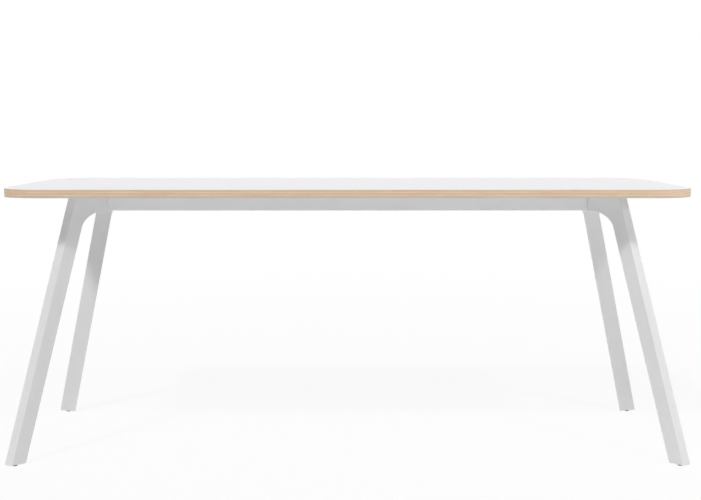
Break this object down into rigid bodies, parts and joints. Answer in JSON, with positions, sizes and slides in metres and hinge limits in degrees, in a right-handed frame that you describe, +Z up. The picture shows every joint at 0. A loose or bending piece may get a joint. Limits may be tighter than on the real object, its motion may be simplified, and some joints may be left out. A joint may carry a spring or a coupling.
{
  "type": "bar table",
  "caption": "Long bar-height table: rounded white laminate top with a bare plywood edge, slim rail frame and splayed, ridged, painted legs with arched heads and levelling feet.",
  "frame": {"origin": "on the floor, under the middle of the top", "axes": "+X along the table's length to its right, +Y to its rear, +Z up; the pictured side is the front, at -Y"},
  "size_m": [2.5994, 1, 1.05],
  "materials": {
    "white_laminate": "satin laminate, very fine grain",
    "plywood_edge": "bare plywood edge under clear matt lacquer",
    "backing_laminate": "matt backing laminate",
    "white_powder_coat": "satin powder coat with fine orange peel",
    "zinc_plate": "bright zinc plate",
    "brass": "turned brass",
    "grey_plug": "moulded nylon",
    "dark_glide": "moulded nylon, lightly scuffed"
  },
  "bodies": {
    "table": {"top_board": "plywood_edge", "top_laminate": "white_laminate", "underside_laminate": "backing_laminate", "front_rail": "white_powder_coat", "rear_rail": "white_powder_coat", "left_cross_rail": "white_powder_coat", "right_cross_rail": "white_powder_coat", "front_left_leg": "white_powder_coat", "front_left_foot_plug": "grey_plug", "front_left_foot_insert": "brass", "front_left_rail_bolt": "zinc_plate", "front_left_cross_bolt": "zinc_plate", "front_right_leg": "white_powder_coat", "front_right_foot_plug": "grey_plug", "front_right_foot_insert": "brass", "front_right_rail_bolt": "zinc_plate", "front_right_cross_bolt": "zinc_plate", "rear_left_leg": "white_powder_coat", "rear_left_foot_plug": "grey_plug", "rear_left_foot_insert": "brass", "rear_left_rail_bolt": "zinc_plate", "rear_left_cross_bolt": "zinc_plate", "rear_right_leg": "white_powder_coat", "rear_right_foot_plug": "grey_plug", "rear_right_foot_insert": "brass", "rear_right_rail_bolt": "zinc_plate", "rear_right_cross_bolt": "zinc_plate", "fixing_tab_front_1": "zinc_plate", "tab_screw_front_1": "zinc_plate", "board_screw_front_1": "zinc_plate", "board_insert_front_1": "brass", "fixing_tab_front_2": "zinc_plate", "tab_screw_front_2": "zinc_plate", "board_screw_front_2": "zinc_plate", "board_insert_front_2": "brass", "fixing_tab_front_3": "zinc_plate", "tab_screw_front_3": "zinc_plate", "board_screw_front_3": "zinc_plate", "board_insert_front_3": "brass", "fixing_tab_rear_1": "zinc_plate", "tab_screw_rear_1": "zinc_plate", "board_screw_rear_1": "zinc_plate", "board_insert_rear_1": "brass", "fixing_tab_rear_2": "zinc_plate", "tab_screw_rear_2": "zinc_plate", "board_screw_rear_2": "zinc_plate", "board_insert_rear_2": "brass", "fixing_tab_rear_3": "zinc_plate", "tab_screw_rear_3": "zinc_plate", "board_screw_rear_3": "zinc_plate", "board_insert_rear_3": "brass"},
    "front_left_pad": {"front_left_glide_pad": "dark_glide"},
    "front_left_stud": {"front_left_levelling_stud": "zinc_plate"},
    "front_right_pad": {"front_right_glide_pad": "dark_glide"},
    "front_right_stud": {"front_right_levelling_stud": "zinc_plate"},
    "rear_left_pad": {"rear_left_glide_pad": "dark_glide"},
    "rear_left_stud": {"rear_left_levelling_stud": "zinc_plate"},
    "rear_right_pad": {"rear_right_glide_pad": "dark_glide"},
    "rear_right_stud": {"rear_right_levelling_stud": "zinc_plate"}
  },
  "joints": [
    {"name": "front_left_foot_slide", "type": "slide", "parent": "table", "child": "front_left_pad", "axis": [0, 0, -1], "range_m": [0, 0.01]},
    {"name": "front_left_stud_turn", "type": "hinge", "parent": "front_left_pad", "child": "front_left_stud", "pos_m": [-1.26202, -0.43444, 0], "axis": [0, 0, -1], "range_deg": [0, 2882]},
    {"name": "front_right_foot_slide", "type": "slide", "parent": "table", "child": "front_right_pad", "axis": [0, 0, -1], "range_m": [0, 0.01]},
    {"name": "front_right_stud_turn", "type": "hinge", "parent": "front_right_pad", "child": "front_right_stud", "pos_m": [1.26202, -0.43444, 0], "axis": [0, 0, -1], "range_deg": [0, 2882]},
    {"name": "rear_left_foot_slide", "type": "slide", "parent": "table", "child": "rear_left_pad", "axis": [0, 0, -1], "range_m": [0, 0.01]},
    {"name": "rear_left_stud_turn", "type": "hinge", "parent": "rear_left_pad", "child": "rear_left_stud", "pos_m": [-1.26202, 0.43444, 0], "axis": [0, 0, -1], "range_deg": [0, 2882]},
    {"name": "rear_right_foot_slide", "type": "slide", "parent": "table", "child": "rear_right_pad", "axis": [0, 0, -1], "range_m": [0, 0.01]},
    {"name": "rear_right_stud_turn", "type": "hinge", "parent": "rear_right_pad", "child": "rear_right_stud", "pos_m": [1.26202, 0.43444, 0], "axis": [0, 0, -1], "range_deg": [0, 2882]}
  ],
  "couplings": [
    {"joint": "front_left_stud_turn", "follows": "front_left_foot_slide", "rad_per_m": 5026.6},
    {"joint": "front_right_stud_turn", "follows": "front_right_foot_slide", "rad_per_m": 5026.6},
    {"joint": "rear_left_stud_turn", "follows": "rear_left_foot_slide", "rad_per_m": 5026.6},
    {"joint": "rear_right_stud_turn", "follows": "rear_right_foot_slide", "rad_per_m": 5026.6}
  ]
}
